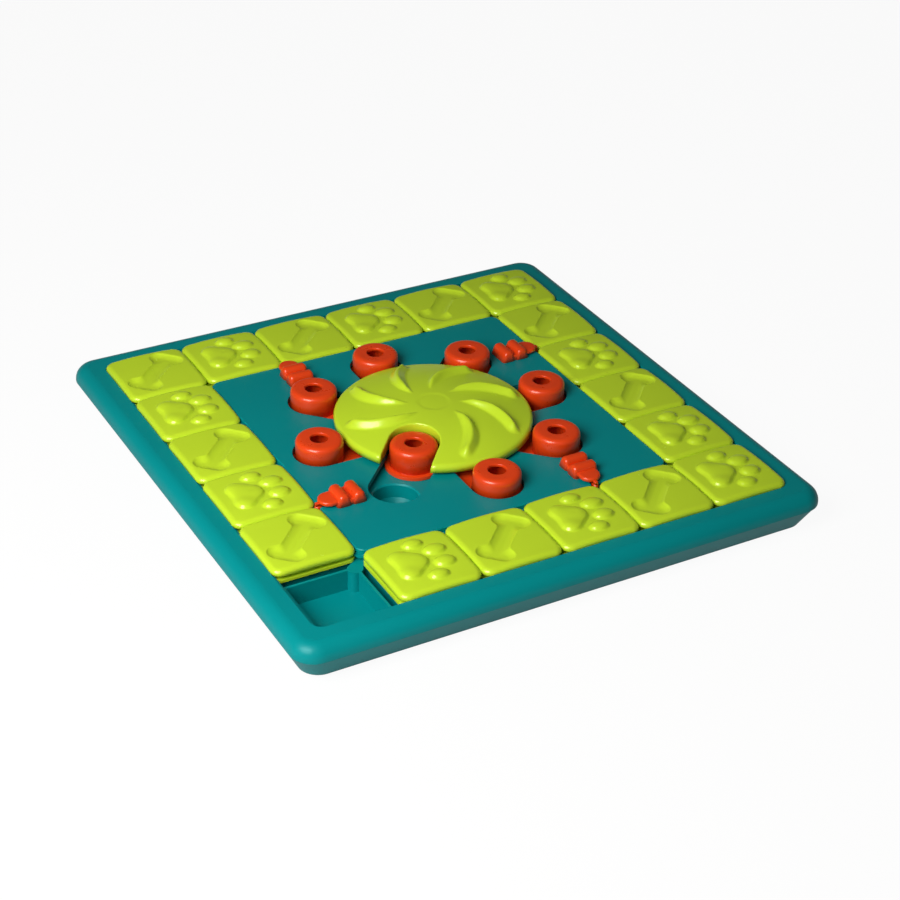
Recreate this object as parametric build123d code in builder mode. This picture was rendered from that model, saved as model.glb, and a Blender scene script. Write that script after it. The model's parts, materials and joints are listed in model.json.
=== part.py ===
from build123d import *
import math
import os

# Sliding treat puzzle for dogs. A square board has a ring of cells round its edge, one of them
# empty, and grooved tiles that slide from cell to cell over treat pockets. Inside the ring lies
# a centre plate with eight radial slots. A peg on a slide plate runs in each slot over a treat
# well, a domed wheel with one notch lets a single peg through at a time, and four finger locks
# drop a fin between two tiles.
# Millimetres. +X runs along the front edge, +Y along the left edge, Z = 0 is the table, and
# the origin is the middle of the board.

# ---- Ring of cells and tiles
pitch = 62.0  # from one tile's centre to the next
cells = 6  # cells along a side of the board
tile_gap = 0.6  # between two neighbouring tiles
edge_gap = 0.4  # from a tile's cap to the rim and to the centre plate
tile_corner = 7.5
cap_height = 4.9
cap_bevel_in = 3.0
cap_bevel_down = 1.3
foot_inset = 0.45  # a tile's foot is this much smaller than its cap, all round
foot_thickness = 2.1
foot_corner = 6.0
groove_depth = 3.2

# ---- Running clearances
run_gap = 0.3  # under whatever slides
lip_gap = 0.4  # over and under a lip in a tile's groove
slack = 0.05  # round a screw, a spindle or a pad in its seat

# ---- Base tray
wall = 2.5
pad_height = 2.0
skirt_bottom = 1.0
floor_bottom = 5.0
floor_thickness = 2.5
parting_height = 18.3
deck_height = 23.0
deck_thickness = 2.5
channel = 7.4  # between the walls of two neighbouring pockets
pocket_wall = 2.0
post_radius = 5.5
base_batter = 8.7  # how far the skirt leans out from its foot to the parting line
base_corner = 17.0
skirt_corner = 14.0

# ---- Rim frame
rim_width = 20.1
rim_height = 29.8
rim_overhang = 0.6
rim_corner = 17.5
rim_edge = 1.2  # upright edge below the rounded shoulder
rim_inner_corner = 8.0
rim_wall = 2.4
lip_thickness = 1.6
lip_reach = 2.4
lip_corner = 3.0

# ---- Screws
boss_radius = 4.0
boss_bite = 0.8  # how far a boss stands into the wall beside it
screw_radius = 1.5
screw_head_radius = 3.0
screw_head_height = 1.8
frame_screw_length = 19.0
plate_screw_length = 7.0
plate_screw_count = 4
frame_boss_joint = 15.0  # where the frame's bosses meet the tray's

# ---- Centre plate
plate_height = 31.0
plate_thickness = 2.6
plate_corner = 6.5
plate_skirt = 2.2
plate_bevel = 0.6
slot_land = 11.55  # plate left between a slot's end and the plate's edge
collar_wall = 2.0
collar_gap = 0.7  # from a peg's slide plate up to the collar along its slot
finger_blunt = 3.0  # cut off the points between neighbouring slots
finger_margin = 6.6  # from a collar to the screw boss in the finger

# ---- Pegs and their wells
pegs = 8
stored_peg = pegs - 3  # this peg is pushed in, under the notch of the wheel
peg_radius = 17.4
peg_height = 17.3
peg_bevel = 1.8
peg_side_gap = 2.1
peg_travel = 43.05
peg_hole_radius = 6.3
peg_hole_depth = 12.0
flange_width = 3.4
slide_thickness = 2.6
tongue_half = 18.5
tongue_gap = 4.8  # from the tongue of a pushed-in peg to the hub
well_radius = 16.7
well_depth = 15.0
well_wall = 2.0
well_foot = 4.0  # bevel round a well's floor
well_bevel = 1.0

# ---- Wheel
wheel_gap = 2.25  # from the wheel's edge to a peg at the outer end of its slot
wheel_lift = 2.5  # over the centre plate
wheel_rim = 5.7
wheel_rise = 10.0
wheel_shell = 2.6
wheel_edge = 1.6
notch_gap = 1.3
notch_wall = 2.4
hub_radius = 9.0
hub_gap = 0.4
hub_dish_radius = 13.0
hub_dish_depth = 0.6
spindle_radius = 6.0
spindle_fit = 0.08
spindle_depth = 13.0  # down from the deck
spindle_socket = 18.0  # up from the deck, into the hub
spindle_boss_wall = 6.0
spindle_screw_radius = 2.0
spindle_screw_length = 12.0
washer_radius = 8.0
washer_height = 1.7
rib_height = 8.0
rib_thickness = 2.0

# ---- Vanes on the wheel: points from the middle of a vane, outwards and round the wheel
vane_distance = 45.9
vane_angle = 95.3
vane_height = 2.4  # from the slope at the vane's middle up to its crest
vane_foot = 0.8  # from that slope down to the vane's full outline
vane_sink = 1.1  # further down, into the shell
vane_tip = (-28.6, 5.8)
vane_back = (6.8, 3.9)
vane_back_end = (21.2, -16.0)
vane_front_end = (14.2, -19.5)
vane_front = (-4.7, -2.4)
crest_tip = (-19.0, 3.9)
crest_back = (5.0, 1.0)
crest_back_end = (17.0, -14.2)
crest_front_end = (16.0, -14.7)
crest_front = (3.9, 0.0)

# ---- Finger locks
lock_length = 33.1
lock_half = 10.25
lock_travel = 5.0
lock_gap = 0.2  # over and under the plate
ridge_radius = 5.4
ridge_height = 8.5
ridge_step = 11.7
lobe_half = 7.75
lobe_length = 14.0
lobe_lift = 1.3
lobe_thickness = 3.1
fin_half = 1.35
fin_length = 5.0
fin_reach = 2.5  # beyond the plate's edge
fin_clear = 1.2  # from the fin's foot to the deck
notch_side = 1.6  # on each side of a fin, in the plate's edge
stem_half = 4.0
stem_length = 5.0
stem_inset = 6.1  # from the lock's inner end to its stem
hook_length = 12.0  # longer than the stem's slot, so that the lock stays in
hook_thickness = 2.2

# ---- Pads under the base
pad_radius = 9.0
pad_boss_rim = 1.5

# ---- Derived heights
floor_top = floor_bottom + floor_thickness
deck_bottom = deck_height - deck_thickness
slide_bottom = deck_height + run_gap
tile_foot_top = slide_bottom + foot_thickness
lip_bottom = tile_foot_top + lip_gap
lip_top = lip_bottom + lip_thickness
cap_bottom = lip_top + lip_gap
cap_top = cap_bottom + cap_height
slide_top = slide_bottom + slide_thickness
plate_bottom = plate_height - plate_thickness
collar_bottom = slide_top + collar_gap
wheel_bottom = plate_height + wheel_lift
wheel_shoulder = wheel_bottom + wheel_rim
wheel_top = wheel_shoulder + wheel_rise

# ---- Derived plan sizes
ring_half = (cells - 1) * pitch / 2
tile_half = (pitch - tile_gap) / 2
foot_half = tile_half - foot_inset
neck_half = tile_half - groove_depth
pocket_outer = (pitch - channel) / 2
pocket_inner = pocket_outer - pocket_wall
rim_inner = ring_half + tile_half + edge_gap
rim_half = rim_inner + rim_width
base_half = rim_half - rim_overhang
skirt_half = base_half - base_batter
plate_half = ring_half - tile_half - edge_gap
deck_half = ring_half - pocket_inner
slot_half = peg_radius + peg_side_gap
slot_distance = plate_half - slot_land - slot_half
finger_distance = slot_half / math.sin(math.pi / pegs) + finger_blunt
plate_boss_distance = (slot_half + collar_wall + boss_radius + finger_margin) / math.sin(math.pi / pegs)
frame_boss_half = rim_inner + rim_wall + boss_radius - boss_bite
rim_shoulder = rim_height - parting_height - rim_edge
peg_in = slot_distance - peg_travel
flange_radius = peg_radius + flange_width
tongue_length = peg_in - hub_radius - tongue_gap
wheel_radius = slot_distance - peg_radius - wheel_gap
notch_radius = peg_radius + notch_gap
notch_angle = 360 * stored_peg / pegs
spindle_boss_bottom = deck_height - spindle_depth
lock_start = plate_half - lock_length

# ---- Places
ring_cells = [
    (i, j)
    for i in range(cells)
    for j in range(cells)
    if i in (0, cells - 1) or j in (0, cells - 1)
]
empty_cell = (0, 0)
corner_signs = [(-1, -1), (-1, 1), (1, -1), (1, 1)]


def cell_place(i, j):
    """The centre of a cell, in plan."""
    return (i * pitch - ring_half, j * pitch - ring_half)


def side_places(half, step):
    """Two points along each side of a square, one step to either side of its middle."""
    offsets = (-step, step)
    return [(x, y) for y in (-half, half) for x in offsets] + [(x, y) for x in (-half, half) for y in offsets]


def turned_plane(angle, outward=0.0, sideways=0.0):
    """A level plane whose X axis points outwards from the middle of the board at an angle."""
    a = math.radians(angle)
    x = outward * math.cos(a) - sideways * math.sin(a)
    y = outward * math.sin(a) + sideways * math.cos(a)
    return Plane(origin=(x, y, 0), x_dir=(math.cos(a), math.sin(a), 0), z_dir=(0, 0, 1))


def upright_plane(angle):
    """A plane that stands along the line outwards from the middle, with its Y axis upwards."""
    a = math.radians(angle)
    return Plane(origin=(0, 0, 0), x_dir=(math.cos(a), math.sin(a), 0), z_dir=(math.sin(a), -math.cos(a), 0))


def keep(part, name):
    """Name a finished piece and write it."""
    part.label = name
    export_step(part, f"parts/{name}.step")


os.makedirs("parts", exist_ok=True)

# ---- Base tray: leaning skirt, floor with open pockets, raised deck with wells, bosses
pocket_places = [cell_place(i, j) for i, j in ring_cells]
pad_places = [(x * ring_half, y * ring_half) for x, y in corner_signs]
pad_places += [(0, -ring_half), (0, ring_half), (-ring_half, 0), (ring_half, 0)]
frame_boss_places = side_places(frame_boss_half, 2 * pitch)
plate_boss_turn = 180 / pegs
skirt_lean = base_batter / (parting_height - skirt_bottom)


def skirt_section(height, inset):
    """The skirt's rounded square at a height, its half width and corner, moved in by an inset."""
    rise = (height - skirt_bottom) / (parting_height - skirt_bottom)
    half = skirt_half + base_batter * rise - inset
    corner = skirt_corner + (base_corner - skirt_corner) * rise - inset
    return RectangleRounded(2 * half, 2 * half, corner)


with BuildPart() as base_tray:
    for height in (skirt_bottom, parting_height):
        with BuildSketch(Plane.XY.offset(height)):
            skirt_section(height, 0)
    loft(ruled=True)
    for low, high in ((skirt_bottom, floor_bottom), (floor_top, parting_height)):
        for height in (low, high):
            with BuildSketch(Plane.XY.offset(height)):
                skirt_section(height, wall)
        loft(ruled=True, mode=Mode.SUBTRACT)

    # the middle is open below, and a wall all round it carries the deck
    with BuildSketch(Plane.XY.offset(floor_bottom)):
        Rectangle(2 * deck_half, 2 * deck_half)
    extrude(amount=deck_height - floor_bottom)
    with BuildSketch(Plane.XY.offset(floor_bottom)):
        Rectangle(2 * (deck_half - pocket_wall), 2 * (deck_half - pocket_wall))
    extrude(amount=deck_bottom - floor_bottom, mode=Mode.SUBTRACT)

    # pocket walls, and a round post in the inner corner of each corner pocket
    with BuildSketch(Plane.XY.offset(floor_top)):
        with Locations(*pocket_places):
            Rectangle(2 * pocket_outer, 2 * pocket_outer)
            Rectangle(2 * pocket_inner, 2 * pocket_inner, mode=Mode.SUBTRACT)
        with Locations(*[(x * deck_half, y * deck_half) for x, y in corner_signs]):
            Circle(post_radius)
    extrude(amount=deck_height - floor_top)

    # treat wells hang from the deck, each under the outer end of a slot
    with BuildSketch(Plane.XY.offset(deck_bottom)):
        with PolarLocations(slot_distance, pegs):
            Circle(well_radius + well_wall)
    extrude(amount=deck_height - well_depth - well_wall - deck_bottom)
    with BuildSketch(Plane.XY.offset(deck_height)):
        with PolarLocations(slot_distance, pegs):
            Circle(well_radius)
    extrude(amount=-well_depth, mode=Mode.SUBTRACT)
    well_edges = base_tray.edges().filter_by(GeomType.CIRCLE).filter_by(
        lambda e: abs(e.radius - well_radius) < 0.01
    )
    chamfer(well_edges.group_by(Axis.Z)[0], well_foot)
    chamfer(well_edges.group_by(Axis.Z)[-1], well_bevel)

    # bearing for the wheel's spindle, braced by ribs that run out to the wells
    with BuildSketch(Plane.XY.offset(spindle_boss_bottom)):
        Circle(spindle_radius + spindle_boss_wall)
    extrude(amount=deck_bottom - spindle_boss_bottom)
    rib_length = slot_distance - well_radius - well_wall / 2
    with BuildSketch(Plane.XY.offset(deck_bottom)):
        with PolarLocations(rib_length / 2, pegs):
            Rectangle(rib_length, rib_thickness)
    extrude(amount=-rib_height)
    with BuildSketch(Plane.XY.offset(deck_height)):
        Circle(spindle_radius + spindle_fit)
    extrude(amount=-spindle_depth, mode=Mode.SUBTRACT)

    # screw bosses for the rim frame, and seats for the pads
    with BuildSketch(Plane.XY.offset(floor_top)):
        with Locations(*frame_boss_places):
            Circle(boss_radius)
    extrude(amount=frame_boss_joint - floor_top)
    with BuildSketch(Plane.XY.offset(pad_height)):
        with Locations(*pad_places):
            Circle(pad_radius + pad_boss_rim)
    extrude(amount=floor_bottom - pad_height)
    with BuildSketch(Plane.XY.offset(floor_bottom)):
        with Locations(*frame_boss_places):
            Circle(screw_radius + slack)
    extrude(amount=frame_boss_joint - floor_bottom, mode=Mode.SUBTRACT)
    with BuildSketch(Plane.XY.offset(deck_bottom)):
        with PolarLocations(plate_boss_distance, plate_screw_count, plate_boss_turn):
            Circle(screw_radius + slack)
    extrude(amount=deck_thickness, mode=Mode.SUBTRACT)
keep(base_tray.part, "base_tray")

# ---- Rim frame: a hollow moulding with a rounded shoulder and a lip that runs in the tiles' grooves
inner_outside = rim_inner + rim_wall

with BuildPart() as frame_hollow:
    with BuildSketch(Plane.XY.offset(parting_height)):
        RectangleRounded(2 * (rim_half - rim_wall), 2 * (rim_half - rim_wall), rim_corner - rim_wall)
    extrude(amount=rim_height - rim_wall - parting_height)
    fillet(frame_hollow.edges().group_by(Axis.Z)[-1], rim_shoulder - rim_wall)
    with BuildSketch(Plane.XY.offset(parting_height)):
        RectangleRounded(2 * inner_outside, 2 * inner_outside, rim_inner_corner)
    extrude(amount=rim_height - parting_height, mode=Mode.SUBTRACT)

with BuildPart() as bezel_frame:
    with BuildSketch(Plane.XY.offset(parting_height)):
        RectangleRounded(2 * rim_half, 2 * rim_half, rim_corner)
    extrude(amount=rim_height - parting_height)
    fillet(bezel_frame.edges().group_by(Axis.Z)[-1], rim_shoulder)
    add(frame_hollow.part, mode=Mode.SUBTRACT)
    with BuildSketch(Plane.XY.offset(parting_height)):
        RectangleRounded(2 * rim_inner, 2 * rim_inner, rim_inner_corner)
    extrude(amount=rim_height - parting_height, mode=Mode.SUBTRACT)
    with BuildSketch(Plane.XY.offset(lip_bottom)):
        RectangleRounded(2 * inner_outside, 2 * inner_outside, rim_inner_corner)
        lip_half = rim_inner - lip_reach
        RectangleRounded(2 * lip_half, 2 * lip_half, lip_corner, mode=Mode.SUBTRACT)
    extrude(amount=lip_thickness)
    with BuildSketch(Plane.XY.offset(frame_boss_joint)):
        with Locations(*frame_boss_places):
            Circle(boss_radius)
    extrude(amount=rim_height - rim_wall - frame_boss_joint)
    with BuildSketch(Plane.XY.offset(frame_boss_joint)):
        with Locations(*frame_boss_places):
            Circle(screw_radius + slack)
    extrude(amount=floor_bottom + frame_screw_length - frame_boss_joint, mode=Mode.SUBTRACT)
keep(bezel_frame.part, "bezel_frame")

# ---- Centre plate: eight slots that meet under the wheel, a collar along them, a skirt with a lip
with BuildPart() as centre_plate:
    with BuildSketch(Plane.XY.offset(plate_bottom)):
        RectangleRounded(2 * plate_half, 2 * plate_half, plate_corner)
    extrude(amount=plate_thickness)
    chamfer(centre_plate.edges().group_by(Axis.Z)[-1], plate_bevel)
    with BuildSketch(Plane.XY.offset(deck_height)):
        RectangleRounded(2 * plate_half, 2 * plate_half, plate_corner)
        skirt_inner = plate_half - plate_skirt
        RectangleRounded(2 * skirt_inner, 2 * skirt_inner, plate_corner - plate_skirt, mode=Mode.SUBTRACT)
    extrude(amount=plate_bottom - deck_height)
    with BuildSketch(Plane.XY.offset(lip_bottom)):
        lip_half = plate_half + lip_reach
        RectangleRounded(2 * lip_half, 2 * lip_half, plate_corner + lip_reach)
        RectangleRounded(2 * skirt_inner, 2 * skirt_inner, plate_corner - plate_skirt, mode=Mode.SUBTRACT)
    extrude(amount=lip_thickness)
    with BuildSketch(Plane.XY.offset(collar_bottom)):
        Circle(finger_distance + collar_wall)
        with PolarLocations(0, pegs // 2, angular_range=180):
            SlotCenterToCenter(2 * slot_distance, 2 * (slot_half + collar_wall))
    extrude(amount=plate_bottom - collar_bottom)
    with BuildSketch(Plane.XY.offset(deck_height)):
        with PolarLocations(plate_boss_distance, plate_screw_count, plate_boss_turn):
            Circle(boss_radius)
    extrude(amount=plate_bottom - deck_height)
    with BuildSketch(Plane.XY.offset(deck_height)):
        with PolarLocations(plate_boss_distance, plate_screw_count, plate_boss_turn):
            Circle(screw_radius + slack)
    extrude(amount=plate_screw_length - deck_thickness, mode=Mode.SUBTRACT)
    with BuildSketch(Plane.XY.offset(deck_height)):
        Circle(finger_distance)
        with PolarLocations(0, pegs // 2, angular_range=180):
            SlotCenterToCenter(2 * slot_distance, 2 * slot_half)
    extrude(amount=plate_height - deck_height, mode=Mode.SUBTRACT)
    # a slot for each lock's stem, and a notch in the edge for its fin
    for side in range(4):
        with BuildSketch(turned_plane(90 * side, 0, pitch).offset(deck_height)):
            stem_slot = stem_length + lock_travel + 2 * lock_gap
            with Locations((lock_start + stem_inset + stem_length + lock_gap - stem_slot / 2, 0)):
                Rectangle(stem_slot, 2 * (stem_half + lock_gap))
            fin_slot = plate_half + fin_reach - fin_length - lock_travel - lock_gap
            with Locations((fin_slot, 0)):
                notch_length = plate_half + lip_reach - fin_slot
                Rectangle(notch_length, 2 * (fin_half + notch_side), align=(Align.MIN, Align.CENTER))
        extrude(amount=plate_height - deck_height, mode=Mode.SUBTRACT)
keep(centre_plate.part, "centre_plate")

# ---- Screws, up from below: the rim frame's through the tray, the centre plate's through the deck
with BuildPart() as frame_screws:
    with BuildSketch(Plane.XY.offset(floor_bottom - screw_head_height)):
        with Locations(*frame_boss_places):
            Circle(screw_head_radius)
    extrude(amount=screw_head_height)
    with BuildSketch(Plane.XY.offset(floor_bottom)):
        with Locations(*frame_boss_places):
            Circle(screw_radius)
    extrude(amount=frame_screw_length - lip_gap)
keep(frame_screws.part, "frame_screws")

with BuildPart() as plate_screws:
    with BuildSketch(Plane.XY.offset(deck_bottom - screw_head_height)):
        with PolarLocations(plate_boss_distance, plate_screw_count, plate_boss_turn):
            Circle(screw_head_radius)
    extrude(amount=screw_head_height)
    with BuildSketch(Plane.XY.offset(deck_bottom)):
        with PolarLocations(plate_boss_distance, plate_screw_count, plate_boss_turn):
            Circle(screw_radius)
    extrude(amount=plate_screw_length - lip_gap)
keep(plate_screws.part, "plate_screws")

# ---- Rubber pads under the base
with BuildPart() as rubber_feet:
    with BuildSketch(Plane.XY):
        with Locations(*pad_places):
            Circle(pad_radius)
    extrude(amount=pad_height)
keep(rubber_feet.part, "rubber_feet")


# ---- Wheel: a domed shell with a skirt, a notch with its own wall, seven vanes and a hub
def dome_height(distance):
    """The height of the dome at a distance from its middle."""
    sphere = (wheel_radius**2 + wheel_rise**2) / (2 * wheel_rise)
    return wheel_top - sphere + math.sqrt(sphere**2 - distance**2)


def dome_section():
    """Half the dome's upright section, from its middle to its rim."""
    with BuildSketch(Plane.XZ) as section:
        with BuildLine():
            arc = ThreePointArc(
                (0, dome_height(0)),
                (wheel_radius / 2, dome_height(wheel_radius / 2)),
                (wheel_radius, dome_height(wheel_radius)),
            )
            Polyline(arc @ 1, (wheel_radius, wheel_bottom), (0, wheel_bottom), arc @ 0)
        make_face()
        chamfer(section.vertices().group_by(Axis.X)[-1].sort_by(Axis.Y)[-1], wheel_edge)
    return section.sketch


def hollow_section():
    """Half the section of the hollow under the dome, from the hub to the rim's skirt."""
    edge = wheel_radius - wheel_shell
    with BuildSketch(Plane.XZ) as section:
        with BuildLine():
            Polyline(
                (hub_radius, dome_height(hub_radius) - wheel_shell),
                (edge, dome_height(edge) - wheel_shell),
                (edge, wheel_bottom),
                (hub_radius, wheel_bottom),
                close=True,
            )
        make_face()
    return section.sketch


def notch_shape(margin):
    """The plan of the notch that takes the stored peg, wider by a margin."""
    with BuildSketch(turned_plane(notch_angle).offset(wheel_bottom)) as shape:
        with Locations((peg_in, 0)):
            Circle(notch_radius + margin)
            Rectangle(wheel_radius, 2 * (notch_radius + margin), align=(Align.MIN, Align.CENTER))
    return shape.sketch


def wheel_vane(angle):
    """One vane: a curved blade with a steep back and a gentle front, on the slope of the dome."""
    a = math.radians(angle)
    step = 0.5
    slope = (dome_height(vane_distance - step) - dome_height(vane_distance + step)) / (2 * step)
    tilt = math.atan(slope)
    outward = (math.cos(a), math.sin(a))
    place = (
        vane_distance * outward[0],
        vane_distance * outward[1],
        dome_height(vane_distance),
    )
    slope_plane = Plane(
        origin=place,
        x_dir=(math.cos(tilt) * outward[0], math.cos(tilt) * outward[1], -math.sin(tilt)),
        z_dir=(math.sin(tilt) * outward[0], math.sin(tilt) * outward[1], math.cos(tilt)),
    )
    foot = (vane_tip, vane_back, vane_back_end, vane_front_end, vane_front)
    crest = (crest_tip, crest_back, crest_back_end, crest_front_end, crest_front)
    outlines = ((-vane_foot, *foot), (vane_height, *crest))
    with BuildPart() as vane:
        for height, tip, back, back_end, front_end, front in outlines:
            with BuildSketch(slope_plane.offset(height)):
                with BuildLine():
                    ThreePointArc(tip, back, back_end)
                    Line(back_end, front_end)
                    ThreePointArc(front_end, front, tip)
                make_face()
        loft(ruled=True)
        extrude(vane.faces().sort_by(Axis(place, slope_plane.z_dir))[0], amount=vane_sink)
    return vane.part


vanes = [wheel_vane(vane_angle - 360 * k / pegs) for k in range(pegs) if k != stored_peg]

with BuildPart() as treat_wheel:
    revolve(dome_section(), axis=Axis.Z)
    revolve(hollow_section(), axis=Axis.Z, mode=Mode.SUBTRACT)
    with BuildSketch(Plane.XY.offset(deck_height + hub_gap)):
        Circle(hub_radius)
    extrude(amount=wheel_shoulder - deck_height - hub_gap)
    for vane in vanes:
        add(vane)
    extrude(notch_shape(notch_wall), amount=wheel_top - wheel_bottom, mode=Mode.SUBTRACT)
    with BuildSketch(Plane.XY.offset(wheel_top - hub_dish_depth)):
        Circle(hub_dish_radius)
    extrude(amount=wheel_rise, mode=Mode.SUBTRACT)
    with BuildSketch(Plane.XY.offset(deck_height + hub_gap)):
        Circle(spindle_radius + slack)
    extrude(amount=spindle_socket - hub_gap, mode=Mode.SUBTRACT)
keep(treat_wheel.part, "treat_wheel")

with BuildPart() as notch_guard:
    revolve(dome_section(), axis=Axis.Z)
    extrude(notch_shape(notch_wall), amount=wheel_top - wheel_bottom, mode=Mode.INTERSECT)
    extrude(notch_shape(0), amount=wheel_top - wheel_bottom, mode=Mode.SUBTRACT)
keep(notch_guard.part, "notch_guard")

# ---- Spindle in the hub, and the screw that holds it under its bearing
with BuildPart() as wheel_spindle:
    with BuildSketch(Plane.XY.offset(spindle_boss_bottom - run_gap)):
        Circle(spindle_radius)
    extrude(amount=spindle_depth + run_gap + spindle_socket - slack)
    with BuildSketch(Plane.XY.offset(spindle_boss_bottom - run_gap)):
        Circle(spindle_screw_radius + slack)
    extrude(amount=spindle_screw_length + run_gap, mode=Mode.SUBTRACT)
keep(wheel_spindle.part, "wheel_spindle")

with BuildPart() as wheel_screw:
    with BuildSketch(Plane.XY.offset(spindle_boss_bottom - run_gap - washer_height)):
        Circle(washer_radius)
    extrude(amount=washer_height)
    with BuildSketch(Plane.XY.offset(spindle_boss_bottom - run_gap)):
        Circle(spindle_screw_radius)
    extrude(amount=spindle_screw_length)
keep(wheel_screw.part, "wheel_screw")


# ---- Pegs: a round knob with a blind hole, on a slide plate whose tongue closes the slot behind it
def sliding_peg(name, angle, distance):
    """One peg at an angle and a distance from the middle of the board."""
    seat = turned_plane(angle, distance)
    with BuildPart() as peg:
        with BuildSketch(seat.offset(slide_bottom)):
            Circle(flange_radius)
            Rectangle(tongue_length, 2 * tongue_half, align=(Align.MAX, Align.CENTER))
        extrude(amount=slide_thickness)
        with BuildSketch(seat.offset(slide_top)):
            Circle(peg_radius)
        extrude(amount=peg_height)
        chamfer(peg.edges().group_by(Axis.Z)[-1], peg_bevel)
        with BuildSketch(seat.offset(slide_top + peg_height)):
            Circle(peg_hole_radius)
        extrude(amount=-peg_hole_depth, mode=Mode.SUBTRACT)
    keep(peg.part, name)


for k in range(pegs):
    sliding_peg(f"peg_{k}", 360 * k / pegs, peg_in if k == stored_peg else slot_distance)


# ---- Finger locks: two ridges to push, a lobe over the plate's edge with a fin below, a hooked stem
def finger_lock(name, angle):
    """One lock on the side of the board that faces an angle."""
    level = turned_plane(angle, 0, pitch)
    bottom = plate_height + lock_gap
    ridge_middle = plate_height + ridge_height - ridge_radius
    first = lock_start + ridge_radius
    second = first + ridge_step
    with BuildPart() as lock:
        with BuildSketch(upright_plane(angle).offset(-pitch)):
            with BuildLine():
                Line((lock_start, bottom), (lock_start, ridge_middle))
                ThreePointArc(
                    (lock_start, ridge_middle),
                    (first, ridge_middle + ridge_radius),
                    (first + ridge_radius, ridge_middle),
                )
                Line((first + ridge_radius, ridge_middle), (second - ridge_radius, ridge_middle))
                ThreePointArc(
                    (second - ridge_radius, ridge_middle),
                    (second, ridge_middle + ridge_radius),
                    (second + ridge_radius, ridge_middle),
                )
                Polyline(
                    (second + ridge_radius, ridge_middle),
                    (second + ridge_radius, bottom),
                    (lock_start, bottom),
                )
            make_face()
        extrude(amount=lock_half, both=True)
        with BuildSketch(level.offset(plate_height + lobe_lift)):
            lobe_middle = plate_half - lobe_half
            with Locations((lobe_middle, 0)):
                Circle(lobe_half)
                Rectangle(lobe_length - lobe_half, 2 * lobe_half, align=(Align.MAX, Align.CENTER))
        extrude(amount=lobe_thickness)
        with BuildSketch(level.offset(deck_height + fin_clear)):
            with Locations((plate_half + fin_reach, 0)):
                Rectangle(fin_length, 2 * fin_half, align=(Align.MAX, Align.CENTER))
        extrude(amount=plate_height + lobe_lift + lobe_thickness / 2 - deck_height - fin_clear)
        with BuildSketch(level.offset(plate_bottom - lock_gap)):
            with Locations((lock_start + stem_inset, 0)):
                Rectangle(stem_length, 2 * stem_half, align=(Align.MIN, Align.CENTER))
        extrude(amount=bottom - plate_bottom + lock_gap)
        with BuildSketch(level.offset(plate_bottom - lock_gap - hook_thickness)):
            with Locations((lock_start + stem_inset, 0)):
                Rectangle(hook_length, 2 * stem_half, align=(Align.MIN, Align.CENTER))
        extrude(amount=hook_thickness)
    keep(lock.part, name)


for side, name in enumerate(("lock_right", "lock_back", "lock_left", "lock_front")):
    finger_lock(name, 90 * side)


# ---- Tiles: a cap with a neck below it, and the foot on which it slides
def sliding_tile(i, j):
    """One tile in a cell of the ring."""
    place = Plane(origin=(*cell_place(i, j), 0))
    with BuildPart() as cap:
        with BuildSketch(place.offset(cap_bottom)):
            RectangleRounded(2 * tile_half, 2 * tile_half, tile_corner)
        extrude(amount=cap_height)
        top_face = cap.faces().sort_by(Axis.Z)[-1]
        chamfer(top_face.edges(), cap_bevel_down, cap_bevel_in, reference=top_face)
        with BuildSketch(place.offset(tile_foot_top)):
            Rectangle(2 * neck_half, 2 * neck_half)
        extrude(amount=cap_bottom - tile_foot_top)
    keep(cap.part, f"tile_{i}{j}_cap")
    with BuildPart() as foot:
        with BuildSketch(place.offset(slide_bottom)):
            RectangleRounded(2 * foot_half, 2 * foot_half, foot_corner)
        extrude(amount=foot_thickness)
    keep(foot.part, f"tile_{i}{j}_foot")


for i, j in ring_cells:
    if (i, j) != empty_cell:
        sliding_tile(i, j)
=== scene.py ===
import json
import math

import bmesh
import bpy
from mathutils import Matrix, Vector

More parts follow.
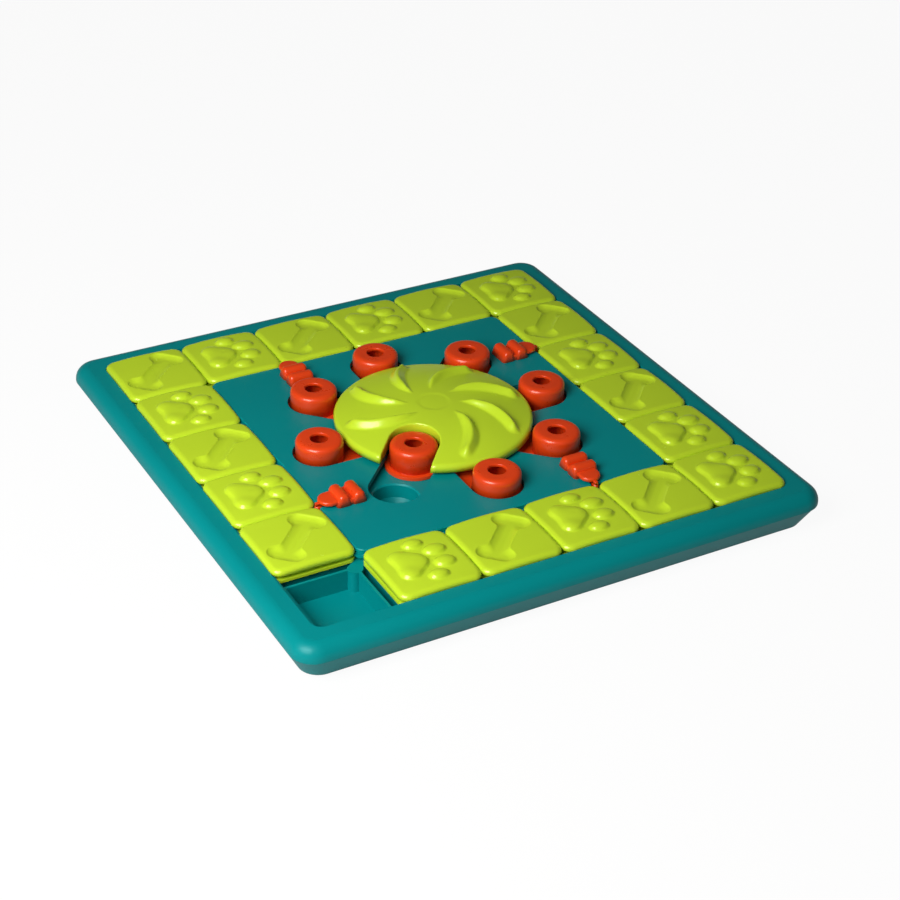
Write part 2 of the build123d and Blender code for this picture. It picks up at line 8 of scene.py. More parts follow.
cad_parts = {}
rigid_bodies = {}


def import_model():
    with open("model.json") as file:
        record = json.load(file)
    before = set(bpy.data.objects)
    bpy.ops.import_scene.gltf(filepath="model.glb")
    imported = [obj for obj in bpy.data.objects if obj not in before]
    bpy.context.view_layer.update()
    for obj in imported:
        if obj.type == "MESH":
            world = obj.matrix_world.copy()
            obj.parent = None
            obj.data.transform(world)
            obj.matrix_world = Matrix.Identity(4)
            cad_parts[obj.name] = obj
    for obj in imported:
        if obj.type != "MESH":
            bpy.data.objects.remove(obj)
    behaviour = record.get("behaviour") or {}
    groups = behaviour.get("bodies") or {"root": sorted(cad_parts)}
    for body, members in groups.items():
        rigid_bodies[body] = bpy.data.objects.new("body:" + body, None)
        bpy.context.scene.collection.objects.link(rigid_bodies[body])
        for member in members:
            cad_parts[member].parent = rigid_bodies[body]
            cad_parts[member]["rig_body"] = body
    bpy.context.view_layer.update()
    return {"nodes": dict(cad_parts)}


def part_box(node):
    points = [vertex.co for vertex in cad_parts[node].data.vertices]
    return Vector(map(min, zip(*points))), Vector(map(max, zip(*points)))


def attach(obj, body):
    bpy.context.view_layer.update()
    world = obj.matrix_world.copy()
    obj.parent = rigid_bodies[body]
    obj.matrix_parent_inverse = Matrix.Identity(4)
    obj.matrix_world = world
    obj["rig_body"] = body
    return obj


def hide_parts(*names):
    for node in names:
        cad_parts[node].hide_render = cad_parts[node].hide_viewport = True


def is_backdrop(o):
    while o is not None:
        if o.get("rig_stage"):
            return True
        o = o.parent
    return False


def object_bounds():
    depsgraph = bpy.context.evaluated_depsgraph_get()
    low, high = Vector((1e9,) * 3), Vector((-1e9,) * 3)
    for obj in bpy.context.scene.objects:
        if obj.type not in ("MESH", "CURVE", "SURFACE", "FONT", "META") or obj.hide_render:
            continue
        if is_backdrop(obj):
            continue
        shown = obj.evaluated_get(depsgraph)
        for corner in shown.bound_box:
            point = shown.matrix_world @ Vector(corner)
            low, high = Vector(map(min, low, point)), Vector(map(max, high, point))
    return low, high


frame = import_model()

# ---- Studio: a pale table under soft lamps, seen from the near corner
# The table shows white to the camera and in reflections, and still takes the object's shadow.
# The key lamp stands low on the board's left, so each raised edge has a light side and a dark one.
mm = 0.001
camera_azimuth = math.radians(-30.12)
camera_elevation = math.radians(32.006)
camera_roll = math.radians(1.944)
camera_distance = 1460.6 * mm
camera_aim = Vector((-6.2, -36.8, 29.2)) * mm
camera_lens = 80.97

back = Vector((
    math.sin(camera_azimuth) * math.cos(camera_elevation),
    -math.cos(camera_azimuth) * math.cos(camera_elevation),
    math.sin(camera_elevation),
))
level_right = Vector((math.cos(camera_azimuth), math.sin(camera_azimuth), 0))
level_up = back.cross(level_right)
right = level_right * math.cos(camera_roll) + level_up * math.sin(camera_roll)
up = level_up * math.cos(camera_roll) - level_right * math.sin(camera_roll)
camera = bpy.data.objects.new("camera", bpy.data.cameras.new("camera"))
bpy.context.scene.collection.objects.link(camera)
camera.data.lens = camera_lens
camera.data.clip_end = 20
camera_turn = Matrix((right, up, back)).transposed().to_4x4()
camera.matrix_world = Matrix.Translation(camera_aim + back * camera_distance) @ camera_turn
bpy.context.scene.camera = camera
bpy.context.scene.view_settings.view_transform = "Standard"


def studio_lamp(name, place, size, power, colour):
    """A square soft lamp that faces the board."""
    lamp = bpy.data.lights.new(name, "AREA")
    lamp.size = size
    lamp.energy = power
    lamp.color = colour
    holder = bpy.data.objects.new(name, lamp)
    bpy.context.scene.collection.objects.link(holder)
    holder.location = place
    holder.rotation_mode = "QUATERNION"
    holder.rotation_quaternion = (-Vector(place)).to_track_quat("-Z", "Y")


studio_lamp("key_lamp", place=(-0.72, -0.38, 0.66), size=0.55, power=11.6, colour=(1, 0.985, 0.96))
studio_lamp("front_lamp", place=(-0.1, -1.3, 0.8), size=0.7, power=0.3, colour=(1, 1, 1))


class Signal:
    """What a node gives. Sums on a signal that is a number add Math nodes."""

    def __init__(self, finish, socket):
        self.finish = finish
        self.socket = socket

    def math(self, operation, first, second):
        return self.finish.node("ShaderNodeMath", {"operation": operation}, {0: first, 1: second})

    def __add__(self, other):
        return self.math("ADD", self, other)

    __radd__ = __add__

    def __sub__(self, other):
        return self.math("SUBTRACT", self, other)

    def __rsub__(self, other):
        return self.math("SUBTRACT", other, self)

    def __mul__(self, other):
        return self.math("MULTIPLY", self, other)

    __rmul__ = __mul__


class Finish:
    """A material's nodes. node() adds one: its settings first, then what its sockets hold."""

    def __init__(self, name, tree=None):
        if tree is None:
            self.material = bpy.data.materials.new(name)
            self.material.use_nodes = True
            tree = self.material.node_tree
        self.tree = tree
        self.shader = tree.nodes.get("Principled BSDF")

    def feed(self, socket, value):
        if isinstance(value, Signal):
            self.tree.links.new(value.socket, socket)
        else:
            socket.default_value = value

    def node(self, kind, settings, inputs, output=0):
        made = self.tree.nodes.new(kind)
        for key, value in settings.items():
            setattr(made, key, value)
        for key, value in inputs.items():
            self.feed(made.inputs[key], value)
        return Signal(self, made.outputs[output])

    def set(self, **inputs):
        for key, value in inputs.items():
            self.feed(self.shader.inputs[key.replace("_", " ")], value)

    def ray(self, kind):
        """1 on a ray of a kind, and 0 on others."""
        return self.node("ShaderNodeLightPath", {}, {}, f"Is {kind} Ray")

    def place(self):
        """Where a point is on the piece, in metres."""
        return self.node("ShaderNodeTexCoord", {}, {}, "Object")

    def noise(self, size, detail=2.0, roughness=0.5):
        """Even noise from 0 to 1, whose patches are about a size across, in metres."""
        inputs = {"Vector": self.place(), "Scale": 1 / size, "Detail": detail, "Roughness": roughness}
        return self.node("ShaderNodeTexNoise", {}, inputs)

    def mix(self, factor, first, second):
        """A colour between two. The node's colours are its sockets 6 and 7, and its result is 2."""
        inputs = {"Factor": factor, 6: first, 7: second}
        return self.node("ShaderNodeMix", {"data_type": "RGBA", "clamp_factor": True}, inputs, 2)


white = (1, 1, 1, 1)
table_half = 6.0
table_grey = (0.62, 0.62, 0.62, 1)
table_in_gloss = (0.42, 0.42, 0.42, 1)
table_strength = 1.03
table_share = 0.91


def seen_directly(finish):
    """1 for what the camera, a reflection or a clear piece shows, and 0 for light on its way."""
    return finish.ray("Camera") + finish.ray("Transmission") + finish.ray("Glossy")


table_finish = Finish("table")
table_finish.set(Base_Color=table_grey, Roughness=0.9, Specular_IOR_Level=0.1)
table_lit = Signal(table_finish, table_finish.shader.outputs["BSDF"])
table_shown = table_finish.mix(table_finish.ray("Glossy"), white, table_in_gloss)
table_white = table_finish.node("ShaderNodeEmission", {}, {"Color": table_shown, "Strength": table_strength})
table_surface = table_finish.node(
    "ShaderNodeMixShader",
    {},
    {0: seen_directly(table_finish) * table_share, 1: table_lit, 2: table_white},
)
table_output = table_finish.tree.nodes["Material Output"]
table_finish.feed(table_output.inputs["Surface"], table_surface)

shape = bmesh.new()
bmesh.ops.create_grid(shape, x_segments=1, y_segments=1, size=table_half)
table = bpy.data.objects.new("table", bpy.data.meshes.new("table"))
shape.to_mesh(table.data)
shape.free()
table.data.materials.append(table_finish.material)
bpy.context.scene.collection.objects.link(table)
table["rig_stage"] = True

air_strength = 0.12
air_change = (0.01, 0.17)
low_air_in_gloss = (0.38, 0.38, 0.38, 1)
high_air_in_gloss = (0.05, 0.05, 0.05, 1)
world = bpy.context.scene.world or bpy.data.worlds.new("studio")
bpy.context.scene.world = world
world.use_nodes = True
air = Finish("air", world.node_tree)
air_direction = air.node("ShaderNodeTexCoord", {}, {}, "Generated")
air_height = air.node("ShaderNodeSeparateXYZ", {}, {"Vector": air_direction}, "Z")
air_upper = air.node(
    "ShaderNodeMapRange",
    {"interpolation_type": "SMOOTHSTEP"},
    {"Value": air_height, "From Min": air_change[0], "From Max": air_change[1]},
)
air_in_gloss = air.mix(air_upper, low_air_in_gloss, high_air_in_gloss)
air_shown = air.mix(air.ray("Glossy"), white, air_in_gloss)
air_light = air.node("ShaderNodeBackground", {}, {"Color": white, "Strength": air_strength})
air_white = air.node("ShaderNodeBackground", {}, {"Color": air_shown, "Strength": 1.0})
air_surface = air.node("ShaderNodeMixShader", {}, {0: seen_directly(air), 1: air_light, 2: air_white})
air.feed(world.node_tree.nodes["World Output"].inputs["Surface"], air_surface)


# ---- Base tray, rim frame and centre plate: injection mouldings in teal polypropylene
# The moulds are spark-eroded, which leaves a fine even grain. The colour drifts a little with the
# flow, and the frame and the plate are screwed on from below.
flow_patch = 70 * mm
rubbed_patch = 9 * mm
rubbed_change = 0.10
grain_size = 0.45 * mm
grain_depth = 0.05 * mm


def moulded_plastic(name, colour, roughness, grain, drift, gloss):
    """Coloured polypropylene: a drift in its colour, rubbed patches in its gloss, and a fine grain."""
    finish = Finish(name)
    deep = tuple(c * (1 - drift) for c in colour) + (1,)
    light = tuple(min(1, c * (1 + drift)) for c in colour) + (1,)
    highlight = tuple(0.6 + 0.4 * c / max(colour) for c in colour) + (1,)
    finish.set(
        Base_Color=finish.mix(finish.noise(flow_patch), deep, light),
        Roughness=roughness + rubbed_change * (finish.noise(rubbed_patch, 4.0, 0.6) - 0.5),
        Specular_IOR_Level=gloss,
        Specular_Tint=highlight,
        Normal=finish.node(
            "ShaderNodeBump",
            {},
            {"Strength": grain, "Distance": grain_depth, "Height": finish.noise(grain_size, 1.0)},
            "Normal",
        ),
    )
    return finish.material


def dress(material, *nodes):
    """Gives CAD nodes that keep their shape a material."""
    for node in nodes:
        for seat in frame["nodes"][node].material_slots:
            seat.material = material


teal_colour = (0.0, 0.24, 0.25)
teal = moulded_plastic("teal_moulding", teal_colour, roughness=0.36, grain=0.30, drift=0.05, gloss=0.27)
dress(teal, "base_tray", "bezel_frame", "centre_plate")


# ---- Tiles: lime caps with a soft puffed edge, and a paw in relief or a bone pressed in
# Each is one polypropylene moulding, and its cap sits on a neck and a foot that run in the tray.
# Paws and bones come mostly in turn round the ring, all facing one way.
def finished_piece(name, shape, material, body, slot, *nodes):
    """Makes a bmesh an object that rides on a body, and stands for CAD nodes."""
    piece = bpy.data.objects.new(name, bpy.data.meshes.new(name))
    shape.to_mesh(piece.data)
    shape.free()
    piece.data.materials.append(material)
    piece.data.polygons.foreach_set("use_smooth", [True] * len(piece.data.polygons))
    bpy.context.scene.collection.objects.link(piece)
    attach(piece, body)
    if nodes:
        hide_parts(*nodes)
    return piece


def soft_step(value, start, end):
    """0 before start, 1 past end, and smooth in between."""
    share = min(1, max(0, (value - start) / (end - start)))
    return share * share * (3 - 2 * share)


def blended(first, second, softness):
    """The larger of two distances, with the crease between them filled."""
    share = max(0, softness - abs(first - second)) / softness
    return max(first, second) + share * share * softness / 4


def in_lobe(x, y, lobe):
    """How far inside an oval lobe a point is: (middle x, middle y, half length x, half length y)."""
    middle_x, middle_y, half_x, half_y = lobe
    reach = math.hypot((x - middle_x) / half_x, (y - middle_y) / half_y)
    return (1 - reach) * min(half_x, half_y)


# The plans of the paw and the bone are in pitches, from the tile's middle.
pitch = 62 * mm
pad_lobes = [
    (-0.225, 0.145, 0.108, 0.108),
    (-0.23, -0.16, 0.11, 0.11),
    (-0.085, 0.0, 0.15, 0.14),
]
toe_lobes = [
    (0.04, 0.305, 0.125, 0.09),
    (0.21, 0.12, 0.14, 0.10),
    (0.21, -0.12, 0.13, 0.10),
    (0.04, -0.30, 0.125, 0.09),
]
pad_blend = 0.20
paw_shoulder = 0.10
paw_rise = 3.2 * mm
knob_far = 0.305
knob_near = 0.155
knob_half = 0.12
knob_blend = 0.07
shaft_half = 0.12
shaft_reach = 0.23
bone_slope = 0.10
bone_depth = 2.4 * mm
foot_softness = 0.009


def rounded_step(inside, reach):
    """0 at the outline, then up a rounded flank to 1 at a distance inside."""
    inside += foot_softness * (1 - soft_step(inside, -foot_softness, 3 * foot_softness))
    share = min(1, max(0, inside / (reach + foot_softness)))
    return math.sqrt(1 - (1 - share) ** 2) * soft_step(inside, 0, 3 * foot_softness)


def paw_relief(x, y):
    """How far the print stands out of the cap, at a point in pitches from the tile's middle."""
    pad = in_lobe(x, y, pad_lobes[0])
    for lobe in pad_lobes[1:]:
        pad = blended(pad, in_lobe(x, y, lobe), pad_blend)
    return paw_rise * rounded_step(max([pad] + [in_lobe(x, y, toe) for toe in toe_lobes]), paw_shoulder)


def bone_relief(x, y):
    """How far the bone goes down into the cap, at a point in pitches from the tile's middle."""
    along = min(shaft_reach, max(-shaft_reach, (x + y) / 2))
    bone = shaft_half - math.hypot(x - along, y - along)
    for end in (1, -1):
        for knob_x, knob_y in ((knob_far, knob_near), (knob_near, knob_far)):
            knob = in_lobe(x, y, (end * knob_x, end * knob_y, knob_half, knob_half))
            bone = blended(bone, knob, knob_blend)
    share = min(1, max(0, bone / bone_slope))
    return -bone_depth * share * (2 - share) * soft_step(bone, 0, 2 * foot_softness)


cap_divisions = 144
cap_thickness = 4.9 * mm
cap_sink = 0.7 * mm
cap_edge_in = 3.8 * mm
cap_edge_down = 2.8 * mm
cap_crown = 1.9 * mm
corner_droop = 0.7
edge_droop = 0.15
cap_foot_round = 0.7 * mm
cap_corner = 7.5 * mm


def cap_shape(relief, half, bottom, top):
    """A cap on the axis. Its skin is a square sheet, wrapped over the rounded edge and corners."""
    shape = bmesh.new()
    bmesh.ops.create_grid(shape, x_segments=cap_divisions, y_segments=cap_divisions, size=1)
    quarter = math.pi / 2
    edge_length = quarter * (cap_edge_in + cap_edge_down) / 2
    sheet_half = half - cap_edge_in + edge_length
    for vertex in shape.verts:
        x, y = vertex.co.x * sheet_half, vertex.co.y * sheet_half
        from_edge = sheet_half - max(abs(x), abs(y))
        turn = min(1, from_edge / edge_length) * quarter
        inward = cap_edge_in * (1 - math.cos(turn)) + max(0, from_edge - edge_length)
        drop = cap_edge_down * (1 - math.sin(turn))
        ring = max(abs(x), abs(y)) or 1
        x, y = x / ring * (half - inward), y / ring * (half - inward)
        over_x, over_y = abs(x) - (half - cap_corner), abs(y) - (half - cap_corner)
        if over_x > 0 and over_y > 0:
            pull = max(over_x, over_y) / math.hypot(over_x, over_y)
            x = math.copysign(half - cap_corner + over_x * pull, x)
            y = math.copysign(half - cap_corner + over_y * pull, y)
        across, along = (x / half) ** 2, (y / half) ** 2
        crown = cap_crown * (1 - corner_droop * across * along - edge_droop * (across + along))
        calm = soft_step(from_edge, edge_length * 0.5, edge_length * 1.4)
        vertex.co = (x, y, top - drop + crown + calm * relief(x / pitch, y / pitch))
    rim = [edge for edge in shape.edges if edge.is_boundary]
    for height, share in ((bottom + cap_foot_round, 1), (bottom, 1 - cap_foot_round / half)):
        grown = bmesh.ops.extrude_edge_only(shape, edges=rim)["geom"]
        rim = [part for part in grown if isinstance(part, bmesh.types.BMEdge)]
        for vertex in (part for part in grown if isinstance(part, bmesh.types.BMVert)):
            vertex.co = (vertex.co.x * share, vertex.co.y * share, height)
    bmesh.ops.contextual_create(shape, geom=rim)
    bmesh.ops.recalc_face_normals(shape, faces=shape.faces)
    return shape


lime_colour = (0.555, 0.765, 0.026)
lime = moulded_plastic("lime_moulding", lime_colour, roughness=0.25, grain=0.18, drift=0.03, gloss=0.85)
paw_cells = ["10", "30", "50", "02", "04", "15", "35", "55", "51", "53"]
cap_nodes = [node for node in frame["nodes"] if node.startswith("tile_") and node.endswith("_cap")]
low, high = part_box(cap_nodes[0])
cap_half = (high.x - low.x) / 2
cap_bottom = high.z - cap_thickness
cap_top = high.z - cap_sink
paw_cap = cap_shape(paw_relief, cap_half, cap_bottom, cap_top)
bone_cap = cap_shape(bone_relief, cap_half, cap_bottom, cap_top)
for node in cap_nodes:
    cell = node.split("_")[1]
    low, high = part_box(node)
    shape = (paw_cap if cell in paw_cells else bone_cap).copy()
    bmesh.ops.translate(shape, verts=shape.verts, vec=((low.x + high.x) / 2, (low.y + high.y) / 2, 0))
    body = frame["nodes"][node]["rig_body"]
    finished_piece(f"tile_{cell}_skin", shape, lime, body, "lime_plastic", node)
    dress(lime, f"tile_{cell}_foot")


# ---- Pegs: orange knobs with a blind finger hole, each on a slide plate with a tongue
# Each is one polypropylene moulding. The knob is hollow, with a soft rim, and the plate under it
# runs below the centre plate and shows in the slot.
rounding_steps = 8


def rounded_profile(corners):
    """The points of a half section. Each corner is (radius, height, rounding)."""
    points = []
    for k, (x, z, rounding) in enumerate(corners):
        corner = Vector((x, z))
        if rounding == 0:
            points.append(corner)
            continue
        before = (Vector(corners[k - 1][:2]) - corner).normalized()
        after = (Vector(corners[k + 1][:2]) - corner).normalized()
        for step in range(rounding_steps + 1):
            share = step / rounding_steps
            points.append(corner + before * rounding * (1 - share) ** 2 + after * rounding * share**2)
    return points


def turned_shape(corners, steps):
    """A solid turned from a half section that starts and ends on the axis."""
    shape = bmesh.new()
    line = [shape.verts.new((point.x, 0, point.y)) for point in rounded_profile(corners)]
    edges = [shape.edges.new(pair) for pair in zip(line, line[1:])]
    bmesh.ops.spin(
        shape,
        geom=line + edges,
        cent=(0, 0, 0),
        axis=(0, 0, 1),
        angle=2 * math.pi,
        steps=steps,
        use_merge=True,
    )
    bmesh.ops.remove_doubles(shape, verts=shape.verts, dist=0.001 * mm)
    bmesh.ops.recalc_face_normals(shape, faces=shape.faces)
    return shape


def merged_copy(node):
    """A CAD node's mesh as a bmesh, its loose triangles joined and its flat faces whole."""
    shape = bmesh.new()
    shape.from_mesh(frame["nodes"][node].data)
    bmesh.ops.remove_doubles(shape, verts=shape.verts, dist=0.002 * mm)
    bmesh.ops.dissolve_limit(shape, angle_limit=math.radians(0.6), verts=shape.verts, edges=shape.edges)
    return shape


def keep_below(shape, height):
    """Cuts a shape off at a height, and closes the cut."""
    bmesh.ops.bisect_plane(
        shape,
        geom=list(shape.verts) + list(shape.edges) + list(shape.faces),
        plane_co=(0, 0, height),
        plane_no=(0, 0, 1),
        clear_outer=True,
    )
    bmesh.ops.contextual_create(shape, geom=[edge for edge in shape.edges if edge.is_boundary])


def round_edges(shape, edges, width, segments):
    """Rounds edges of a shape."""
    bmesh.ops.bevel(
        shape,
        geom=edges,
        offset=width,
        segments=segments,
        profile=0.5,
        material=-1,
        affect="EDGES",
        clamp_overlap=True,
    )


def join_shapes(shape, *others):
    """Puts closed shapes into one mesh."""
    for other in others:
        carrier = bpy.data.meshes.new("carrier")
        other.to_mesh(carrier)
        other.free()
        shape.from_mesh(carrier)
        bpy.data.meshes.remove(carrier)


peg_radius = 17.4 * mm
peg_base = 25.9 * mm
peg_hole = 6.6 * mm
peg_wall = 2.4 * mm
peg_floor = 1.0 * mm
knob_foot = 0.8 * mm
knob_crest = 11.5 * mm
knob_rounding = 4.2 * mm
plate_rounding = 0.5 * mm
sharp_angle = math.radians(35)
stored_peg = 5
notch_distance = 49.8 * mm
slot_distance = 92.85 * mm
orange_colour = (0.80, 0.057, 0.006)
orange = moulded_plastic("orange_moulding", orange_colour, roughness=0.29, grain=0.20, drift=0.04, gloss=0.9)
for k in range(8):
    node = f"peg_{k}"
    low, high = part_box(node)
    shape = merged_copy(node)
    keep_below(shape, peg_base + 0.1 * mm)
    sharp = [edge for edge in shape.edges if edge.is_manifold and edge.calc_face_angle() > sharp_angle]
    round_edges(shape, sharp, plate_rounding, segments=3)
    knob = turned_shape(
        [
            (0, peg_base - knob_foot, 0),
            (peg_radius, peg_base - knob_foot, 0),
            (peg_radius, high.z - 0.2 * mm, knob_rounding),
            (knob_crest, high.z - 0.02 * mm, 1.5 * mm),
            (peg_hole, high.z - 0.1 * mm, 0.9 * mm),
            (peg_hole, high.z - peg_wall, 0.5 * mm),
            (peg_radius - peg_wall, high.z - peg_wall - 0.6 * mm, 2.0 * mm),
            (peg_radius - peg_wall, peg_base + peg_floor, 0.6 * mm),
            (0, peg_base + peg_floor, 0),
        ],
        steps=96,
    )
    angle = math.radians(45 * k)
    distance = notch_distance if k == stored_peg else slot_distance
    middle = (distance * math.cos(angle), distance * math.sin(angle), 0)
    bmesh.ops.translate(knob, verts=knob.verts, vec=middle)
    join_shapes(shape, knob)
    finished_piece(f"peg_{k}_knob", shape, orange, f"peg_{k}_slider", "orange_plastic", node)


# ---- Wheel: a lime dome with seven swept vanes, a hub dish and a notch that holds one peg
# One polypropylene shell with a rounded rim, on a spindle that turns in the deck's bearing. Each
# vane rises gently on its hollow side and falls more steeply on its full side.
wheel_radius = 73.2 * mm
wheel_bottom = 33.5 * mm
wheel_shoulder = 39.2 * mm
wheel_rise = 10 * mm
wheel_rounding = 2.6 * mm
wheel_wall = 2.4 * mm
notch_angle = math.radians(225)
notch_radius = 18.7 * mm
notch_rounding = 1.2 * mm
mouth_turn = math.asin(notch_radius / wheel_radius)
mouth_along = wheel_radius * math.cos(mouth_turn)
mouth_free = 3.8 * mm
dish_radius = 11.5 * mm
dish_depth = 0.36 * mm
dish_edge = 1.8 * mm
dome_apex = wheel_shoulder + wheel_rise
dome_radius = (wheel_radius**2 + wheel_rise**2) / (2 * wheel_rise)
# A vane's height and plan are in millimetres. The plan is outwards and across, from a point
# at vane_origin on a radius.
vane_angles = [math.radians(95.3 - 45 * k) for k in (0, 1, 2, 3, 4, 6, 7)]
vane_origin = 45.9
vane_height = 5.4
vane_top = 50.8 * mm
vane_crest = 0.44
vane_blunt = 0.45
vane_tip = Vector((-28.6, 5.8))
vane_tip_fade = (-2, 19)
vane_full_side = Vector((6.8, 3.9))
vane_hollow_side = Vector((-4.7, -2.4))
vane_end = (Vector((21.2, -16.0)), Vector((14.2, -19.5)))
vane_end_fade = (-1.5, 6.5)


def circle_through(first, second, third):
    """The middle and radius of the circle through three points."""
    a, b = second - first, third - first
    out = Vector((
        b.y * a.length_squared - a.y * b.length_squared,
        a.x * b.length_squared - b.x * a.length_squared,
    )) / (2 * (a.x * b.y - a.y * b.x))
    return first + out, out.length


full_middle, full_radius = circle_through(vane_tip, vane_full_side, vane_end[0])
hollow_middle, hollow_radius = circle_through(vane_tip, vane_hollow_side, vane_end[1])
end_line = (vane_end[1] - vane_end[0]).normalized()
end_out = Vector((-end_line.y, end_line.x))
if end_out.dot(vane_end[0] - vane_tip) < 0:
    end_out = -end_out


def vane_relief(x, y):
    """The height of the vanes over the dome at a point in plan."""
    highest = 0
    for angle in vane_angles:
        point = Vector((
            (x * math.cos(angle) + y * math.sin(angle)) / mm - vane_origin,
            (y * math.cos(angle) - x * math.sin(angle)) / mm,
        ))
        to_full = full_radius - (point - full_middle).length
        from_hollow = (point - hollow_middle).length - hollow_radius
        to_end = (vane_end[0] - point).dot(end_out)
        if to_full <= 0 or from_hollow <= 0 or to_end <= 0:
            continue
        width = to_full + from_hollow
        hollow_flank = from_hollow / (width * (1 - vane_crest))
        full_flank = to_full / (width * vane_crest)
        crest = min(hollow_flank, full_flank)
        blunt = max(0, vane_blunt - abs(hollow_flank - full_flank)) / vane_blunt
        flank = crest - blunt * blunt * vane_blunt / 4
        ends = soft_step(to_end, *vane_end_fade) * soft_step((point - vane_tip).length, *vane_tip_fade)
        highest = max(highest, vane_height * flank * ends)
    return highest * mm


def wheel_edge_drop(x, y):
    """How far the rounded edges of the rim and of the notch take a point down."""
    along = x * math.cos(notch_angle) + y * math.sin(notch_angle)
    aside = abs(y * math.cos(notch_angle) - x * math.sin(notch_angle))
    from_axis = aside if along > notch_distance else math.hypot(along - notch_distance, aside)
    rounded_edges = (
        (wheel_radius - math.hypot(x, y), wheel_rounding),
        (from_axis - notch_radius, notch_rounding),
    )
    drops = []
    for inward, rounding in rounded_edges:
        short = min(rounding, max(0, rounding - inward))
        drops.append(rounding - math.sqrt(rounding**2 - short**2))
    return max(drops)


def wheel_height(x, y):
    """The wheel's skin: a shallow dome with its dish, its vanes and its rounded edges."""
    from_middle = math.hypot(x, y)
    dome = dome_apex - dome_radius + math.sqrt(dome_radius**2 - from_middle**2)
    dish = dish_depth * soft_step(dish_radius - from_middle, -dish_edge, dish_edge)
    vane = min(vane_relief(x, y), vane_top - dome)
    return dome + vane - dish - wheel_edge_drop(x, y)


# The skin is drawn flat with its mouth along x, turned to its place, cut into a grid and raised.
# Next to the mouth's corners, its outline has no points for a length of mouth_free.
shape = bmesh.new()
rim_turn = mouth_turn + mouth_free / wheel_radius
rim_start = shape.verts.new((wheel_radius * math.cos(rim_turn), wheel_radius * math.sin(rim_turn), 0))
bmesh.ops.spin(
    shape, geom=[rim_start], cent=(0, 0, 0), axis=(0, 0, 1), angle=2 * (math.pi - rim_turn), steps=300
)
notch_start = shape.verts.new((notch_distance, notch_radius, 0))
bmesh.ops.spin(
    shape, geom=[notch_start], cent=(notch_distance, 0, 0), axis=(0, 0, 1), angle=math.pi, steps=60
)
loose = [vertex for vertex in shape.verts if len(vertex.link_edges) == 1]
straights = []
for side in (1, -1):
    rim_end, notch_end = sorted((v for v in loose if v.co.y * side > 0), key=lambda v: -v.co.length)
    corner = shape.verts.new((mouth_along, side * notch_radius, 0))
    straight = shape.verts.new((mouth_along - mouth_free, side * notch_radius, 0))
    shape.edges.new((rim_end, corner))
    shape.edges.new((corner, straight))
    straights.append(shape.edges.new((straight, notch_end)))
bmesh.ops.subdivide_edges(shape, edges=straights, cuts=10)
bmesh.ops.contextual_create(shape, geom=list(shape.edges))
bmesh.ops.rotate(shape, verts=shape.verts, cent=(0, 0, 0), matrix=Matrix.Rotation(notch_angle, 3, "Z"))
rim_rings = 8
reached = 0
for ring in range(1, rim_rings + 1):
    inward = wheel_rounding * (1 - math.cos(math.pi / 2 * ring / rim_rings))
    inner = max(shape.faces, key=lambda face: len(face.verts))
    bmesh.ops.inset_region(
        shape, faces=[inner], thickness=inward - reached, use_even_offset=True, use_boundary=True
    )
    reached = inward
# The sheet inside the rounded edges is marked by its material index while it is cut.
max(shape.faces, key=lambda face: len(face.verts)).material_index = 1
grid_step = 1.1 * mm
grid_offset = 0.37
grid_cuts = int(wheel_radius / grid_step)
for normal in (Vector((1, 0, 0)), Vector((0, 1, 0))):
    for cut in range(-grid_cuts, grid_cuts + 1):
        sheet = [face for face in shape.faces if face.material_index == 1]
        reach = normal * (cut + grid_offset) * grid_step
        if normal.y:
            sheet = [face for face in sheet if max(v.co.y for v in face.verts) > reach.y]
        corners = dict.fromkeys(vertex for face in sheet for vertex in face.verts)
        edges = dict.fromkeys(edge for face in sheet for edge in face.edges)
        around = list(corners) + list(edges) + sheet
        bmesh.ops.bisect_plane(shape, geom=around, plane_co=reach, plane_no=normal, dist=1e-7)
for face in shape.faces:
    face.material_index = 0
for vertex in shape.verts:
    vertex.co.z = wheel_height(vertex.co.x, vertex.co.y)
rim = [edge for edge in shape.edges if edge.is_boundary]
grown = bmesh.ops.extrude_edge_only(shape, edges=rim)["geom"]
for part in grown:
    if isinstance(part, bmesh.types.BMVert):
        part.co.z = wheel_bottom
# The skin is open below until its wall is made, so its outside is the side that looks up.
bmesh.ops.recalc_face_normals(shape, faces=shape.faces)
if sum(face.normal.z for face in shape.faces) < 0:
    bmesh.ops.reverse_faces(shape, faces=shape.faces)
wheel = finished_piece("wheel_shell", shape, lime, "wheel", "lime_plastic", "treat_wheel", "notch_guard")
shell = wheel.modifiers.new("wall", "SOLIDIFY")
shell.thickness = wheel_wall
shell.offset = -1
dress(lime, "wheel_spindle")


# ---- Finger locks: orange slides with two push ridges, a lobe over the plate's edge and a fin below
# Each is one polypropylene moulding, hooked under the plate. The ridges are full bars with soft
# crests and ends, so that a nose or a fingertip can push them.
lock_start = 90.8 * mm
lock_half = 10.25 * mm
lock_foot = 31.2 * mm
ridge_base = 11.6 * mm
ridge_crest = 6.4 * mm
ridge_top = 39.5 * mm
ridge_step = 11.7 * mm
ridge_middle = lock_start + 5.4 * mm
ridge_taper = Vector(((ridge_base - ridge_crest) / 2, 0.8 * mm))
ridge_rounding = 2.7 * mm
slab_half = lock_half - 1.0 * mm
slab_top = 35.3 * mm
slab_taper = Vector((0.4, 0.4)) * mm
slab_rounding = 1.2 * mm
lobe_half = 7.75 * mm
lobe_end = 123.9 * mm
lobe_back = 6.25 * mm
lobe_bottom = 32.3 * mm
lobe_top = 35.7 * mm
lobe_rounding = 1.4 * mm
fin_half = 1.35 * mm
fin_length = 5.0 * mm
fin_end = lobe_end + 2.5 * mm
fin_top = lobe_top - 1.9 * mm
fin_taper = Vector((0.1, 0.1)) * mm
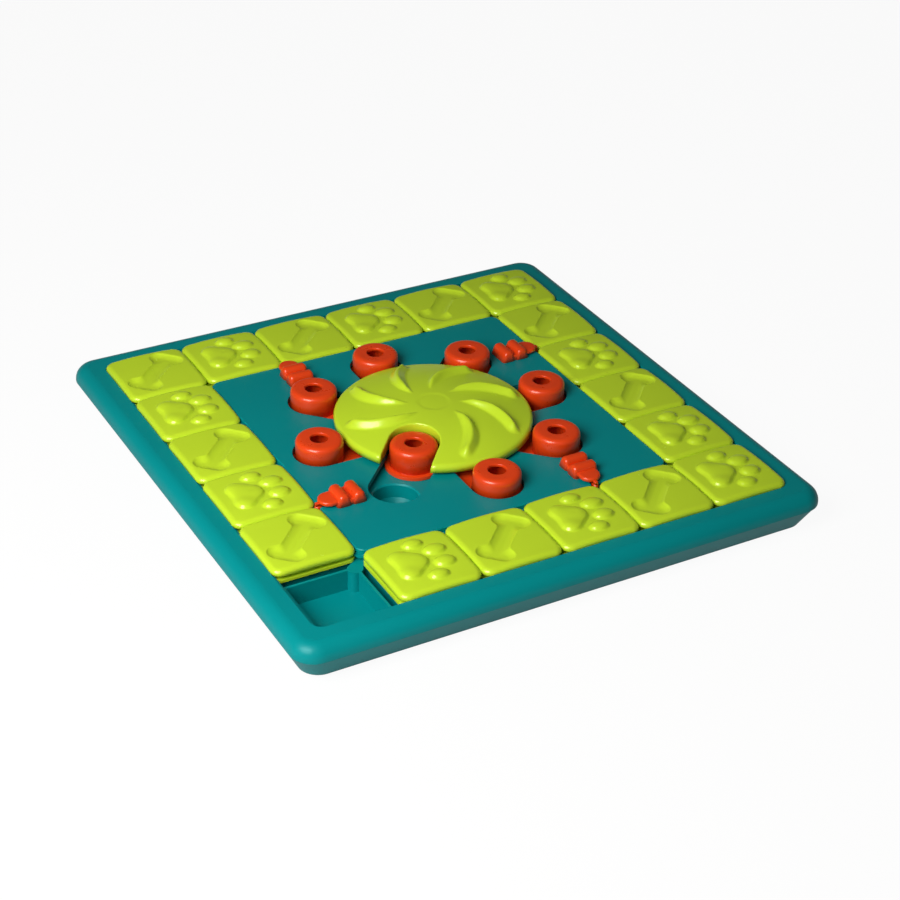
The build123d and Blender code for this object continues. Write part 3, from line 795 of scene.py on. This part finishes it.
fin_rounding = 0.5 * mm


def soft_block(low, high, taper, rounding):
    """A block whose top is narrower by a taper on each side, all its edges but the lowest rounded."""
    shape = bmesh.new()
    bmesh.ops.create_cube(shape, size=1)
    middle, size = (low + high) / 2, high - low
    for vertex in shape.verts:
        inward = taper if vertex.co.z > 0 else Vector((0, 0))
        vertex.co = (
            middle.x + vertex.co.x * (size.x - 2 * inward.x),
            middle.y + vertex.co.y * (size.y - 2 * inward.y),
            middle.z + vertex.co.z * size.z,
        )
    upper = [edge for edge in shape.edges if max(v.co.z for v in edge.verts) > middle.z]
    round_edges(shape, upper, rounding, segments=6)
    return shape


def lock_lobe():
    """The tongue at the lock's outer end, round in plan and at its edges."""
    shape = bmesh.new()
    bmesh.ops.create_circle(shape, cap_ends=True, segments=64, radius=lobe_half)
    for vertex in shape.verts:
        back = lobe_back if vertex.co.x < -0.1 * mm else 0
        vertex.co += Vector((lobe_end - lobe_half - back, 0, lobe_bottom))
    grown = bmesh.ops.extrude_face_region(shape, geom=list(shape.faces))["geom"]
    raised = [part for part in grown if isinstance(part, bmesh.types.BMVert)]
    bmesh.ops.translate(shape, verts=raised, vec=(0, 0, lobe_top - lobe_bottom))
    rims = [edge for edge in shape.edges if abs(edge.verts[0].co.z - edge.verts[1].co.z) < 0.01 * mm]
    round_edges(shape, rims, lobe_rounding, segments=5)
    bmesh.ops.recalc_face_normals(shape, faces=shape.faces)
    return shape


for side, name in enumerate(("lock_right", "lock_back", "lock_left", "lock_front")):
    shape = merged_copy(name)
    keep_below(shape, lock_foot - 0.02 * mm)
    soft_parts = [lock_lobe()]
    for middle in (ridge_middle, ridge_middle + ridge_step):
        soft_parts.append(soft_block(
            Vector((middle - ridge_base / 2, -lock_half, lock_foot)),
            Vector((middle + ridge_base / 2, lock_half, ridge_top)),
            ridge_taper,
            ridge_rounding,
        ))
    soft_parts.append(soft_block(
        Vector((ridge_middle, -slab_half, lock_foot)),
        Vector((ridge_middle + ridge_step, slab_half, slab_top)),
        slab_taper,
        slab_rounding,
    ))
    soft_parts.append(soft_block(
        Vector((fin_end - fin_length, -fin_half, lock_foot)),
        Vector((fin_end, fin_half, fin_top)),
        fin_taper,
        fin_rounding,
    ))
    side_turn = Matrix.Rotation(math.pi / 2 * side, 3, "Z")
    for part in soft_parts:
        bmesh.ops.translate(part, verts=part.verts, vec=(0, pitch, 0))
        bmesh.ops.rotate(part, verts=part.verts, cent=(0, 0, 0), matrix=side_turn)
    join_shapes(shape, *soft_parts)
    finished_piece(f"{name}_slide", shape, orange, f"{name}_slider", "orange_plastic", name)


# ---- Screws: zinc-plated steel, up from below into the bosses
# Their heads sit under the tray and under the deck, out of sight when the board lies on its feet.
zinc_dull = (0.55, 0.56, 0.57, 1)
zinc_bright = (0.68, 0.69, 0.70, 1)
steel = Finish("zinc_plate")
steel.set(
    Base_Color=steel.mix(steel.noise(3 * mm), zinc_dull, zinc_bright),
    Metallic=1.0,
    Roughness=0.30 + 0.12 * steel.noise(1.5 * mm, 3.0),
)
dress(steel.material, "wheel_screw", "frame_screws", "plate_screws")


# ---- Feet: pads of grey rubber pressed into rings under the tray
# The rubber is matt, with a fine dusty grain.
rubber_dark = (0.055, 0.057, 0.06, 1)
rubber_dusty = (0.09, 0.092, 0.095, 1)
rubber = Finish("grey_rubber")
rubber.set(
    Base_Color=rubber.mix(rubber.noise(6 * mm, 4.0), rubber_dark, rubber_dusty),
    Roughness=0.78,
    Normal=rubber.node(
        "ShaderNodeBump",
        {},
        {"Strength": 0.5, "Distance": 0.08 * mm, "Height": rubber.noise(0.8 * mm)},
        "Normal",
    ),
)
dress(rubber.material, "rubber_feet")

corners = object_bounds()
